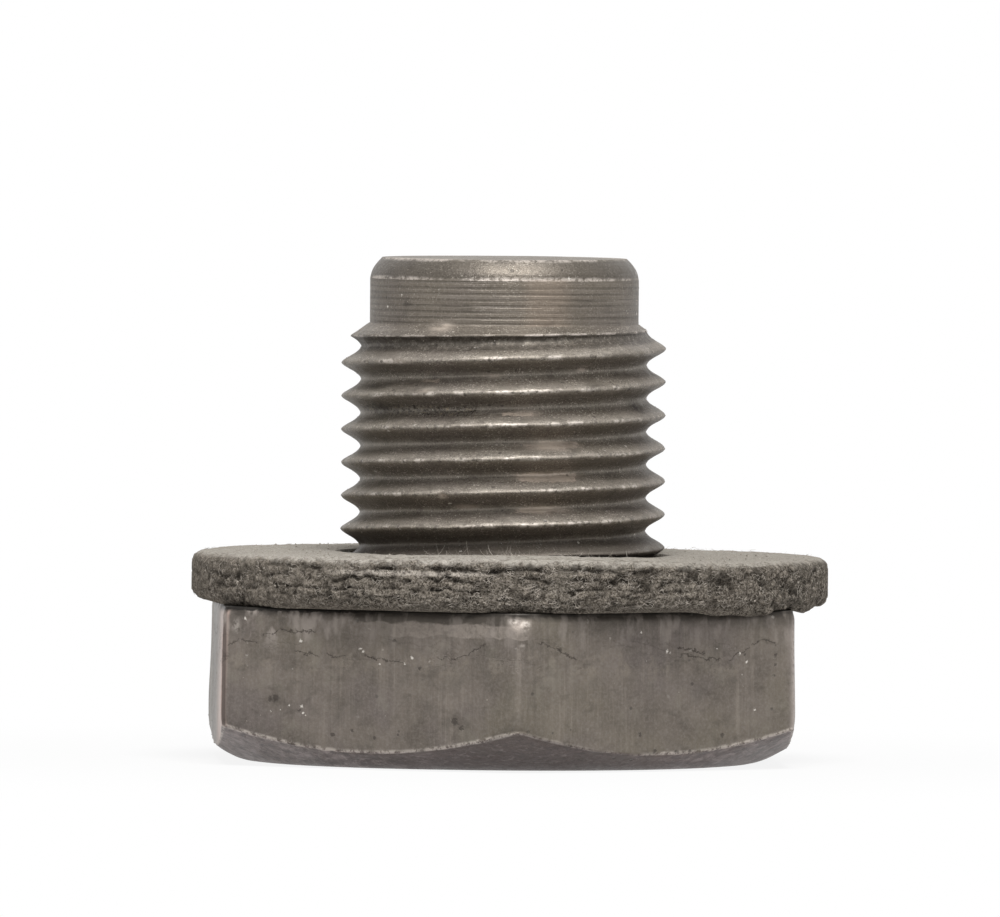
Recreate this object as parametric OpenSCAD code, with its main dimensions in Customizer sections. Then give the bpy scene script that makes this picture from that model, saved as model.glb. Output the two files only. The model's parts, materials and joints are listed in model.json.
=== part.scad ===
// Oil drain plug with its sealing gasket, standing on its hexagon head.
// The origin is the centre of the head's outer face and +Z runs up the shank.

/* [Head] */
// Width of the hexagon across its flats
head_af = 21.85; // [21.5:0.05:22.5]
// Height of the hexagon
head_h = 6.05; // [5:0.05:8]
// Diameter of the flat outer face, where the chamfer begins
head_face_d = 19.8; // [18.5:0.1:20.5]
// Angle between the chamfer and the outer face
head_chamfer = 27.5; // [20:0.5:32]

/* [Shank] */
// Length of the plain neck between the head and the thread
neck_l = 1.25; // [0.8:0.05:2]
// Depth of the neck below the root of the thread
neck_undercut = 0.06; // [0.02:0.01:0.3]
// Outer diameter of the thread
thread_d = 12.48; // [12.2:0.01:12.7]
// Rise of the thread in one turn
thread_pitch = 1.27; // [1:0.01:1.5]
// Length from the neck to the pilot, over the thread and its lead chamfer
thread_l = 9.5; // [8:0.05:14]
// Direction in which the thread leaves the neck
thread_start = 86; // [0:1:359]

/* [Pilot] */
// Diameter of the plain pilot at the tip
pilot_d = 10.3; // [9.6:0.05:10.5]
// Length of the pilot, with the tip's chamfer
pilot_l = 2.5; // [1.5:0.1:6]
// Width of the tip's chamfer
tip_chamfer_w = 0.46; // [0.2:0.02:0.8]
// Height of the tip's chamfer
tip_chamfer_h = 0.77; // [0.3:0.01:1.2]

/* [Gasket] */
// Outer diameter of the gasket
gasket_d = 24.4; // [23:0.1:26]
// Thickness of the gasket
gasket_t = 2; // [1.2:0.05:3]
// Radius of the gasket's worn outer edges
gasket_round = 0.55; // [0.2:0.05:0.6]
// Gap between the thread and the gasket's bore, all round
gasket_clear = 0.4; // [0.35:0.05:0.8]
// How far the loose gasket has slipped to one side
gasket_shift = 0.3; // [0:0.05:0.3]

/* [Hidden] */
$fn = 96;
steel = "dimgray";
fibre = "darkslategray";

// Heights above the ground; the shank's lower end is buried in the head
shank_z0 = head_h / 2;
seat_z = head_h;
thread_z0 = seat_z + neck_l;
thread_z1 = thread_z0 + thread_l;
tip_z = thread_z1 + pilot_l;

// The sixty degree form of a unified thread, as shares of the pitch
flank_angle = 30;
thread_depth = 0.6134 * thread_pitch;
crest_flat = thread_pitch / 12;
crest_round = thread_pitch / 14;
root_sink = thread_pitch / 12;
crest_r = thread_d / 2;
root_r = crest_r - thread_depth;
shoulder_r = crest_r - crest_round;
sunk_r = root_r - root_sink;
blank_spare = 0.3;
half_crest = crest_flat / 2;
half_shoulder = half_crest + crest_round * tan(flank_angle) / 2;
half_base = half_shoulder + (shoulder_r - sunk_r) * tan(flank_angle);

// Steps in each turn of the thread, and the turns that reach past both ends
turn_steps = 32;
thread_turns = thread_l / thread_pitch + 2;
steps = ceil(thread_turns * turn_steps);

// Section of the ridge, as distance from the axis and height over its middle
ridge_section = [
    [sunk_r, -half_base],
    [shoulder_r, -half_shoulder],
    [crest_r, -half_crest],
    [crest_r, half_crest],
    [shoulder_r, half_shoulder],
    [sunk_r, half_base]
];
sides = len(ridge_section);

// A point of the section, carried up the helix to one step
function ridge_point(step, p) =
    let (a = thread_start + 360 * step / turn_steps,
         z = thread_z0 + thread_pitch * (step / turn_steps - 1))
    [p[0] * cos(a), p[0] * sin(a), z + p[1]];

// The ridge of the thread as one closed strip
module thread_ridge() {
    points = [
        for (step = [0 : steps]) for (p = ridge_section) ridge_point(step, p)
    ];
    walls = [
        for (step = [0 : steps - 1]) for (i = [0 : sides - 1])
            let (j = (i + 1) % sides,
                 a = step * sides + i,
                 b = step * sides + j,
                 c = b + sides,
                 d = a + sides)
            each [[a, b, c], [a, c, d]]
    ];
    first_end = [for (i = [sides - 1 : -1 : 0]) i];
    last_end = [for (i = [0 : sides - 1]) steps * sides + i];
    polyhedron(points, concat(walls, [first_end, last_end]), convexity = 10);
}

// The turned blank: neck, undercut shoulder, lead chamfer, pilot and chamfered tip
module turned_blank() {
    neck_r = root_r - neck_undercut;
    pilot_r = pilot_d / 2;
    blank_r = crest_r + blank_spare;
    rotate_extrude()
        polygon([
            [0, shank_z0],
            [neck_r, shank_z0],
            [neck_r, thread_z0],
            [blank_r, thread_z0 + blank_r - neck_r],
            [blank_r, thread_z1 - blank_r + pilot_r],
            [pilot_r, thread_z1],
            [pilot_r, tip_z - tip_chamfer_h],
            [pilot_r - tip_chamfer_w, tip_z],
            [0, tip_z]
        ]);
}

// The threaded rod, cut back to the turned blank
module shank() {
    intersection() {
        union() {
            cylinder(h = tip_z + 1, r = root_r);
            thread_ridge();
        }
        turned_blank();
    }
}

// Hexagon with a corner to the front, its outer end chamfered to a round face
module head() {
    corner_r = head_af / 2 / cos(30);
    face_r = head_face_d / 2;
    wide_r = corner_r + 1;
    intersection() {
        rotate([0, 0, 30]) cylinder(h = head_h, r = corner_r, $fn = 6);
        rotate_extrude()
            polygon([
                [0, 0],
                [face_r, 0],
                [wide_r, (wide_r - face_r) * tan(head_chamfer)],
                [wide_r, head_h],
                [0, head_h]
            ]);
    }
}

// The plug is forged and turned from one piece of steel
module plug() {
    color(steel) {
        head();
        shank();
    }
}

// Half of the gasket's section, with both outer edges worn round
module gasket_section() {
    bore_r = crest_r + gasket_clear;
    rim_r = gasket_d / 2;
    difference() {
        translate([bore_r, 0]) square([rim_r - bore_r, gasket_t]);
        for (side = [0, 1])
            translate([rim_r, side * gasket_t]) mirror([0, side])
                difference() {
                    translate([-gasket_round, -1]) square([gasket_round + 1, gasket_round + 1]);
                    translate([-gasket_round, gasket_round]) circle(gasket_round);
                }
    }
}

// Flat sealing ring of pressed fibre, loose on the neck and resting on the head
module gasket() {
    color(fibre)
        translate([gasket_shift, 0, seat_z])
            rotate_extrude() gasket_section();
}

plug();
gasket();
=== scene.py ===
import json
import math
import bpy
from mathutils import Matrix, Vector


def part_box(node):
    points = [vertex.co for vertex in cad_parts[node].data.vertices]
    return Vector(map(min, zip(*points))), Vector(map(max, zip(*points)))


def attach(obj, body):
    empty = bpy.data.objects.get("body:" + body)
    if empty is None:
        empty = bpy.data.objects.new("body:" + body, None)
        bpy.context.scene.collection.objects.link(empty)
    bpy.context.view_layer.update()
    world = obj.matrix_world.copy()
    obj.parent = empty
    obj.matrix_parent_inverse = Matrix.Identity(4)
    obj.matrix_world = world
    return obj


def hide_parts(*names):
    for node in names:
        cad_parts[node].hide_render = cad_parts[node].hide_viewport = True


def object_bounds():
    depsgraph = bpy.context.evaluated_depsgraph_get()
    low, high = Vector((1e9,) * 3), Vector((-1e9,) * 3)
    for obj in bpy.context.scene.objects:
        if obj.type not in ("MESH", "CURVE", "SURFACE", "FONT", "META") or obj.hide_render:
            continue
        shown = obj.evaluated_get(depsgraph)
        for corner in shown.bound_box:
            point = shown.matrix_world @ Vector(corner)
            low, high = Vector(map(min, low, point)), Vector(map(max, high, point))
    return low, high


bl_info = {
    "name": "Drain Plug",
    "version": (1, 0, 0),
    "blender": (4, 5, 0),
    "location": "View3D > Sidebar > Drain Plug",
    "description": "Makes a used oil drain plug with its crumbling gasket over the packed frame",
    "category": "Add Mesh",
}

import bpy
import numpy as np
from mathutils import Quaternion, Vector

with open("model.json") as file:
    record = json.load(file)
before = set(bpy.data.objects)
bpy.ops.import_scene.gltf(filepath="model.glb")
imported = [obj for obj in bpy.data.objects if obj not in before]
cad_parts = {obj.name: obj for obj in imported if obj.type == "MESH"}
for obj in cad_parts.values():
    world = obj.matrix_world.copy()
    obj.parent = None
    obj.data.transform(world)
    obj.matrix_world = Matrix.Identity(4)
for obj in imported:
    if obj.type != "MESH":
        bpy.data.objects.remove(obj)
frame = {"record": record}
CAD_BOX = [list(corner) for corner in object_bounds()]

MM = 0.001
MOUNTS = {mount["name"]: mount for mount in frame["record"]["mounts"]}
PLUG_LOW, PLUG_HIGH = [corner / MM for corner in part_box("plug")]
GASKET_LOW, GASKET_HIGH = [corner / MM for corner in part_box("gasket")]

# Sizes in millimetres that the frame gives
FLATS = PLUG_HIGH.x - PLUG_LOW.x
CORNER_R = PLUG_HIGH.y
TIP_Z = PLUG_HIGH.z
HEAD_Z = GASKET_LOW.z
RIM_R = (GASKET_HIGH.x - GASKET_LOW.x) / 2
GASKET_X = (GASKET_HIGH.x + GASKET_LOW.x) / 2
CREST_R = MOUNTS["thread"]["dims"]["r_mm"]
PILOT_R = MOUNTS["pilot"]["dims"]["r_mm"]
THREAD_L = MOUNTS["thread"]["dims"]["length_mm"]

# The front of the object as the camera sees it, in degrees from +X
FRONT = -92.96


class PlugSizes(bpy.types.PropertyGroup):
    """Sizes of the steel plug, in millimetres"""

    face_d: bpy.props.FloatProperty(
        name="Outer Face", description="Diameter of the flat face inside the chamfer",
        default=19.76, min=15.0)
    chamfer: bpy.props.FloatProperty(
        name="Head Chamfer", description="Angle between the chamfer and the outer face",
        default=math.radians(28.8), subtype="ANGLE")
    neck_l: bpy.props.FloatProperty(
        name="Neck", description="Length of the plain neck under the thread", default=1.25, min=0.5)
    undercut: bpy.props.FloatProperty(
        name="Undercut", description="Depth of the neck below the thread's root", default=0.06, min=0.0)
    pitch: bpy.props.FloatProperty(
        name="Pitch", description="Rise of the thread in one turn", default=1.27, min=0.5)
    thread_start: bpy.props.FloatProperty(
        name="Thread Start", description="Direction in which the thread leaves the neck",
        default=math.radians(86), subtype="ANGLE")
    lead: bpy.props.FloatProperty(
        name="Lead Chamfer", description="Angle of the lead chamfer from the axis",
        default=math.radians(55), subtype="ANGLE")
    tip_w: bpy.props.FloatProperty(
        name="Tip Chamfer Width", description="Width of the chamfer at the tip", default=0.46, min=0.0)
    tip_h: bpy.props.FloatProperty(
        name="Tip Chamfer Height", description="Height of the chamfer at the tip", default=0.77, min=0.0)
    columns: bpy.props.IntProperty(
        name="Columns", description="Faces round the plug, a multiple of twelve", default=324, min=36)


class GasketSizes(bpy.types.PropertyGroup):
    """Sizes of the fibre gasket, in millimetres"""

    bore_gap: bpy.props.FloatProperty(
        name="Bore Gap", description="Gap between the thread's crest and the bore", default=0.4, min=0.1)
    edge_round: bpy.props.FloatProperty(
        name="Edge Round", description="Radius of the worn outer edges", default=0.55, min=0.1)
    crumble: bpy.props.FloatProperty(
        name="Crumble", description="Depth of the pits in the rim", default=0.16, min=0.0)
    columns: bpy.props.IntProperty(
        name="Columns", description="Faces round the gasket", default=1000, min=100)
    fibres: bpy.props.IntProperty(
        name="Loose Fibres", description="Number of loose fibres on the top", default=380, min=0)
    felt: bpy.props.IntProperty(
        name="Felt", description="Number of short fibres that cover the rim and the top",
        default=10000, min=1)


class StageLook(bpy.types.PropertyGroup):
    """How the camera sees the plug"""

    distance: bpy.props.FloatProperty(
        name="Camera Distance", description="From the plug's axis to the camera, in metres", default=0.93)
    scale: bpy.props.FloatProperty(
        name="Picture Scale", description="Width of the picture at the plug's axis, in millimetres",
        default=38.33)
    elevation: bpy.props.FloatProperty(
        name="Elevation", description="Height of the camera over the horizon",
        default=math.radians(1.5), subtype="ANGLE")
    roll: bpy.props.FloatProperty(
        name="Roll", description="How far the picture leans clockwise",
        default=math.radians(0.5), subtype="ANGLE")
    aim_z: bpy.props.FloatProperty(
        name="Aim Height", description="Height on the axis at the picture's centre, in millimetres",
        default=11.61)
    aim_x: bpy.props.FloatProperty(
        name="Aim Offset", description="How far the aim lies to the left of the axis, in millimetres",
        default=0.115)


# Noise and small helpers, all in millimetres


def lattice(cell, seed):
    """A random value from 0 to 1 for each whole-number cell."""
    c = cell.astype(np.int64).astype(np.uint32)
    h = c[..., 0] * np.uint32(73856093) ^ c[..., 1] * np.uint32(19349663) ^ c[..., 2] * np.uint32(83492791)
    h = h ^ np.uint32((seed * 2654435761) % 4294967296)
    for _ in range(2):
        h = (h ^ (h >> np.uint32(15))) * np.uint32(2246822519)
        h = (h ^ (h >> np.uint32(13))) * np.uint32(3266489917)
    return (h ^ (h >> np.uint32(16))) / 4294967295.0


def noise(points, size, seed):
    """Smooth noise from -1 to 1 with lumps of the given size."""
    q = points / size
    low = np.floor(q)
    f = q - low
    f = f * f * (3 - 2 * f)
    total = np.zeros(len(points))
    for dx in (0, 1):
        for dy in (0, 1):
            for dz in (0, 1):
                weight = np.ones(len(points))
                for axis, step in enumerate((dx, dy, dz)):
                    weight *= f[:, axis] if step else 1 - f[:, axis]
                total += weight * lattice(low + np.array([dx, dy, dz]), seed)
    return total * 2 - 1


def fractal(points, size, seed, octaves=3):
    """Noise with finer and fainter noise over it."""
    total = sum(noise(points, size / 2 ** i, seed + i) / 2 ** i for i in range(octaves))
    return total / (2 - 2 ** (1 - octaves))


def grains(points, size, seed):
    """Distances to the nearest and second nearest grain, in grain sizes."""
    q = points / size
    low = np.floor(q)
    near = np.full(len(points), 9.0)
    second = np.full(len(points), 9.0)
    for dx in (-1, 0, 1):
        for dy in (-1, 0, 1):
            for dz in (-1, 0, 1):
                cell = low + np.array([dx, dy, dz])
                spot = cell + np.stack([lattice(cell, seed + axis) for axis in range(3)], axis=1)
                gap = np.linalg.norm(spot - q, axis=1)
                second = np.minimum(second, np.maximum(near, gap))
                near = np.minimum(near, gap)
    return near, second


def step(x, low, high):
    """Runs smoothly from 0 at low to 1 at high."""
    t = np.clip((x - low) / (high - low), 0, 1)
    return t * t * (3 - 2 * t)


def bump(x, middle, width):
    """A smooth hill of height 1 round the middle."""
    return np.exp(-(((x - middle) / width) ** 2))


def least(a, b, blend):
    """The smaller of two, with a rounded change between them."""
    h = np.maximum(blend - np.abs(a - b), 0)
    return np.minimum(a, b) - h * h / (4 * blend)


def most(a, b, blend):
    """The larger of two, with a rounded change between them."""
    return -least(-a, -b, blend)


def turn(angle, towards):
    """Angle from a direction, in degrees from -180 to 180."""
    return (angle - towards + 180) % 360 - 180


# Mesh tools


def spun(name, stretches, columns, closed):
    """Spins an outline about Z. A stretch is (start, end, faces); each point keeps its row number."""
    rows = []
    for (r0, z0), (r1, z1), faces in stretches:
        for i in range(faces):
            t = i / faces
            rows.append((r0 + (r1 - r0) * t, z0 + (z1 - z0) * t))
    if not closed:
        rows.append(stretches[-1][1])
    edges = [(i, i + 1) for i in range(len(rows) - 1)]
    if closed:
        edges.append((len(rows) - 1, 0))
    mesh = bpy.data.meshes.new(name)
    mesh.from_pydata([(r * MM, 0, z * MM) for r, z in rows], edges, [])
    row = mesh.attributes.new("row", "FLOAT", "POINT")
    row.data.foreach_set("value", np.arange(len(rows), dtype=np.float32))
    piece = bpy.data.objects.new(name, mesh)
    bpy.context.scene.collection.objects.link(piece)
    bpy.ops.object.select_all(action="DESELECT")
    piece.select_set(True)
    bpy.context.view_layer.objects.active = piece
    bpy.ops.object.modifier_add(type="SCREW")
    screw = piece.modifiers[0]
    screw.steps = screw.render_steps = columns
    screw.use_merge_vertices = True
    screw.merge_threshold = 0.001 * MM
    bpy.ops.object.modifier_apply(modifier=screw.name)
    bpy.ops.object.mode_set(mode="EDIT")
    bpy.ops.mesh.select_all(action="SELECT")
    bpy.ops.mesh.normals_make_consistent(inside=False)
    bpy.ops.object.mode_set(mode="OBJECT")
    return piece


def points_of(mesh):
    """The mesh's points in millimetres."""
    flat = np.empty(len(mesh.vertices) * 3, dtype=np.float32)
    mesh.vertices.foreach_get("co", flat)
    return flat.reshape(-1, 3).astype(float) / MM


def move_points(mesh, points):
    """Puts the mesh's points at places given in millimetres."""
    mesh.vertices.foreach_set("co", (points * MM).astype(np.float32).ravel())
    mesh.update()


def rows_of(mesh):
    """The row number that each point was spun from."""
    rows = np.empty(len(mesh.vertices), dtype=np.float32)
    mesh.attributes["row"].data.foreach_get("value", rows)
    return np.rint(rows).astype(int)


def paint(mesh, name, values):
    """Keeps a value for each point, for a material to read."""
    layer = mesh.attributes.new(name, "FLOAT", "POINT")
    layer.data.foreach_set("value", np.clip(values, 0, 1).astype(np.float32))


def polar(points):
    """Distance from the Z axis and direction in degrees."""
    return np.hypot(points[:, 0], points[:, 1]), np.degrees(np.arctan2(points[:, 1], points[:, 0]))


def from_polar(r, angle, z):
    """Points from their distances to the Z axis, directions in radians and heights."""
    return np.stack([r * np.cos(angle), r * np.sin(angle), z], axis=1)


def direction(heading, lean):
    """A unit vector from its heading and its angle over the horizon, in radians."""
    level = math.cos(lean)
    return np.array([math.cos(heading) * level, math.sin(heading) * level, math.sin(lean)])


def finish_piece(piece, material):
    """Shades the piece smooth, gives it its material and says what it rides on."""
    mesh = piece.data
    if "row" in mesh.attributes:
        mesh.attributes.remove(mesh.attributes["row"])
    mesh.materials.append(material)
    mesh.polygons.foreach_set("use_smooth", [True] * len(mesh.polygons))
    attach(piece, "root")


# The shape of the plug

# Faces along each stretch of the plug's outline
FACE_ROWS = 12
CHAMFER_ROWS = 17
SIDE_ROWS = 26
SEAT_ROWS = 4
NECK_ROWS = 12
THREAD_ROWS = 188
PILOT_ROWS = 26
TIP_ROWS = 9
END_ROWS = 6

# Half of a hexagon's side, as seen from its axis
HALF_SIDE = math.radians(30)
# Angle between each flank of the thread and a plane across the axis
FLANK_ANGLE = math.radians(30)
# Depth of the thread, as a share of its pitch
THREAD_DEPTH = 0.6134

# Long cracks in the left and the right front flat, as points (along the flat, height)
CRACKS = {
    -1: [((-6.19, 4.58), (-5.63, 4.82)), ((-5.63, 4.82), (-4.88, 4.66)), ((-4.73, 5.02), (-3.96, 5.20)),
         ((-3.96, 5.20), (-2.36, 5.20)), ((-1.92, 4.34), (-1.08, 4.28)), ((2.80, 4.34), (3.75, 4.28)),
         ((3.75, 4.28), (4.92, 4.90)), ((-0.30, 4.30), (1.40, 4.12)), ((-3.30, 4.45), (-2.20, 4.22))],
    1: [((-5.40, 4.98), (-4.77, 4.76)), ((-4.77, 4.76), (-3.60, 4.32)), ((3.20, 4.16), (4.24, 4.70)),
        ((4.24, 4.70), (4.69, 5.02)), ((4.69, 5.02), (5.42, 4.76)), ((1.00, 4.45), (2.92, 4.22)),
        ((0.90, 4.72), (2.20, 4.50))],
}
# Pale specks on the two front flats, as (X, height, size)
SPECKS = [
    (-10.12, 5.62, 0.07), (-8.03, 4.84, 0.11), (-5.82, 4.58, 0.11), (-5.74, 4.48, 0.08),
    (-3.92, 4.30, 0.10), (5.04, 4.22, 0.06), (5.83, 4.56, 0.10), (5.93, 4.50, 0.07), (7.79, 4.65, 0.06),
    (8.70, 4.47, 0.10), (8.98, 4.14, 0.09), (8.79, 3.64, 0.07), (4.82, 5.30, 0.06), (-7.94, 2.10, 0.07),
    (-8.80, 2.16, 0.06), (9.30, 2.30, 0.05), (-9.13, 2.14, 0.06), (-7.98, 2.34, 0.06),
    (-7.84, 1.98, 0.07), (-8.43, 2.38, 0.05), (-8.36, 3.79, 0.05), (-4.18, 4.06, 0.06),
    (-3.26, 4.16, 0.05), (-5.1, 4.02, 0.05), (-7.6, 4.05, 0.05),
]
# Dark pits in the two front flats, as (X, height, size)
PITS = [
    (-8.98, 2.63, 0.30), (-9.16, 2.58, 0.22), (-2.32, 1.91, 0.28), (-2.09, 1.69, 0.24),
    (-6.86, 1.29, 0.18), (-6.12, 1.46, 0.14), (-7.70, 4.38, 0.14), (-4.59, 4.96, 0.13),
    (-3.63, 3.92, 0.13), (-8.06, 2.18, 0.12), (8.02, 1.36, 0.18), (10.12, 4.38, 0.15),
    (4.79, 1.41, 0.14), (1.62, 4.68, 0.16), (8.90, 4.40, 0.12), (5.38, 0.76, 0.16), (6.21, 0.71, 0.20),
    (6.76, 0.77, 0.18), (10.1, 4.0, 0.14), (10.08, 3.6, 0.13),
]
# Scuffs in the front of the thread, as their two ends in X and in height
SCUFFS = [((-0.4, 0.85), (13.38, 13.54)), ((1.0, 2.55), (12.12, 12.44)), ((0.2, 2.5), (10.86, 11.2)),
          ((0.2, 1.35), (9.68, 9.88)), ((-3.3, -2.7), (14.6, 14.75))]
# Worn roundness of the hexagon's corners, and how bright each is painted, for wear and as a painted
# highlight
CORNER_ROUND = {-90: 0.75, -30: 0.3, 30: 0.4, 90: 0.5, 150: 0.2, -150: 0.2}
CORNER_WEAR_AND_HIGHLIGHT = {-90: 0.06, -30: 0.6, 30: 0.5, 90: 0.3, 150: 0.6, -150: 1.0}
# Dents and rubbed spots: direction, height, half width, half height, depth and shine
MARKS = [
    (-89.9, 5.80, 0.38, 0.26, 0.12, 0.3), (-89.2, 4.92, 0.20, 0.10, 0.05, 0.9),
    (-91.0, 4.45, 0.25, 0.07, 0.05, 0.3), (-90.5, 4.15, 0.22, 0.06, 0.05, 0.2),
    (-90.3, 1.5, 0.45, 0.22, 0.10, 0.3), (-120.5, 16.7, 0.45, 0.20, -0.07, 0.7),
    (-115.0, 10.33, 0.20, 0.14, 0.14, 0.6), (-74.0, 12.25, 1.15, 0.17, 0.02, 0.9),
    (-75.0, 11.07, 1.2, 0.17, 0.02, 1.0), (-76.0, 9.80, 0.9, 0.16, 0.02, 1.0),
    (-134.0, 15.4, 0.60, 0.08, 0.06, 0.4), (-121.0, 14.3, 0.35, 0.10, 0.08, 0.5),
    (-84.0, 13.5, 0.60, 0.12, 0.0, 0.6), (-108.0, 9.90, 0.50, 0.10, 0.0, 0.5),
    (-99.0, 14.9, 0.45, 0.10, 0.0, 0.5), (-60.0, 15.2, 0.25, 0.12, 0.08, 0.6),
    (-152.5, 5.35, 0.45, 0.35, 0.05, 1.0), (60.0, 13.0, 0.40, 0.15, 0.10, 0.6),
    (125.0, 11.7, 0.30, 0.15, 0.10, 0.7), (90.0, 4.9, 0.30, 0.25, 0.10, 0.8),
    (150.0, 1.6, 0.70, 1.5, -0.05, 0.0), (-147.6, 5.35, 0.22, 0.40, 0.0, 0.55),
    (-91.5, 5.1, 0.5, 0.6, 0.0, 0.25), (-88.7, 5.62, 0.22, 0.22, 0.0, 1.0),
    (-91.0, 5.78, 0.26, 0.12, 0.0, 0.9),
]
# Dark stains: direction, height, half width, half height and strength
STAINS = [
    (-153.0, 14.38, 0.50, 0.10, 0.8), (-149.6, 13.55, 0.60, 0.24, 0.9),
    (-140.0, 13.50, 0.60, 0.16, 0.5), (-28.9, 13.66, 0.40, 0.30, 0.9), (-139.2, 17.60, 0.16, 0.13, 0.9),
    (-137.6, 17.52, 0.12, 0.10, 0.6), (-140.2, 2.58, 0.32, 0.17, 0.6), (-101.6, 1.95, 0.36, 0.16, 0.6),
    (-99.6, 1.80, 0.28, 0.14, 0.6), (-38.0, 8.90, 1.20, 0.20, 0.5), (20.0, 12.10, 0.70, 0.30, 0.7),
    (100.0, 3.10, 0.50, 0.30, 0.5),
]


def root_radius(sizes):
    """Distance from the axis to the thread's root."""
    return CREST_R - THREAD_DEPTH * sizes.pitch


def neck_radius(sizes):
    """Distance from the axis to the undercut neck."""
    return root_radius(sizes) - sizes.undercut


def plug_stretches(sizes):
    """The turned outline of the blank, from the outer face up to the tip."""
    face_r = sizes.face_d / 2
    neck_r = neck_radius(sizes)
    thread_z0 = HEAD_Z + sizes.neck_l
    thread_z1 = thread_z0 + THREAD_L
    chamfer_z = (CORNER_R - face_r) * math.tan(sizes.chamfer)
    end_r = PILOT_R - sizes.tip_w
    return [
        ((0, 0), (face_r, 0), FACE_ROWS),
        ((face_r, 0), (CORNER_R, chamfer_z), CHAMFER_ROWS),
        ((CORNER_R, chamfer_z), (CORNER_R, HEAD_Z), SIDE_ROWS),
        ((CORNER_R, HEAD_Z), (neck_r, HEAD_Z), SEAT_ROWS),
        ((neck_r, HEAD_Z), (neck_r, thread_z0), NECK_ROWS),
        ((neck_r, thread_z0), (PILOT_R, thread_z1), THREAD_ROWS),
        ((PILOT_R, thread_z1), (PILOT_R, TIP_Z - sizes.tip_h), PILOT_ROWS),
        ((PILOT_R, TIP_Z - sizes.tip_h), (end_r, TIP_Z), TIP_ROWS),
        ((end_r, TIP_Z), (0, TIP_Z), END_ROWS),
    ]


def corner_offset(angle):
    """Angle from the nearest corner of the hexagon, and that corner's roundness."""
    nearest = np.round((angle - 30) / 60) * 60 + 30
    roundness = np.zeros(len(angle))
    for corner, size in CORNER_ROUND.items():
        roundness = np.where(np.abs(turn(nearest, corner)) < 1, size, roundness)
    return turn(angle, nearest), roundness


def hexagon_r(angle):
    """Distance from the axis to the side of the hexagon, with its corners worn round."""
    off, roundness = corner_offset(angle)
    off = np.radians(np.abs(off))
    half = FLATS / 2
    centre = (half - roundness) / math.cos(HALF_SIDE)
    tangent = np.arctan2(roundness * 0.5, centre + roundness * math.cos(HALF_SIDE))
    flat = half / np.cos(HALF_SIDE - off)
    arc = centre * np.cos(off) + np.sqrt(np.maximum(roundness ** 2 - (centre * np.sin(off)) ** 2, 0))
    return np.where(off < tangent, arc, flat)


def draw_to_corners(angle, share):
    """Draws the columns together towards the hexagon's corners."""
    off, _ = corner_offset(angle)
    return angle - share * np.degrees(np.sin(np.radians(off * 6))) / 6


def thread_r(angle, z, sizes):
    """Distance from the axis to the surface of the thread, and the height over the nearest crest."""
    start = HEAD_Z + sizes.neck_l - sizes.pitch
    crest_z = start + sizes.pitch * (angle - math.degrees(sizes.thread_start)) / 360
    off = (z - crest_z + sizes.pitch / 2) % sizes.pitch - sizes.pitch / 2
    apex = CREST_R + sizes.pitch / 24 / math.tan(FLANK_ANGLE)
    flank = apex - np.abs(off) / math.tan(FLANK_ANGLE)
    return most(least(flank, CREST_R, 0.2), root_radius(sizes), 0.34), off


def blank_r(z, sizes):
    """Distance from the axis to the turned blank, from the neck to the pilot."""
    neck = neck_radius(sizes)
    low = HEAD_Z + sizes.neck_l
    high = low + THREAD_L
    rising = neck + np.maximum(z - low, 0)
    falling = PILOT_R + np.maximum(high - z, 0) * math.tan(sizes.lead)
    return least(np.where(z < low, neck, rising), falling, 0.1)


def worn_and_highlit_corners(angle):
    """How brightly each corner of the hexagon is painted, for wear and as a painted highlight; the left one
    is brightest just beside its edge.
    """
    arris = np.zeros(len(angle))
    for corner, shine in CORNER_WEAR_AND_HIGHLIGHT.items():
        beside = -0.8 if corner == -150 else 0
        arris = np.maximum(arris, shine * bump(turn(angle, corner), beside, 0.75))
    return arris


def stained(r, angle, z):
    """How dark the table of stains makes each point."""
    stain = np.zeros(len(r))
    for towards, stain_z, wide, tall, strength in STAINS:
        away = np.radians(turn(angle, towards)) * r / wide
        stain = np.maximum(stain, strength * bump(np.hypot(away, (z - stain_z) / tall), 0, 1))
    return stain


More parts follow.
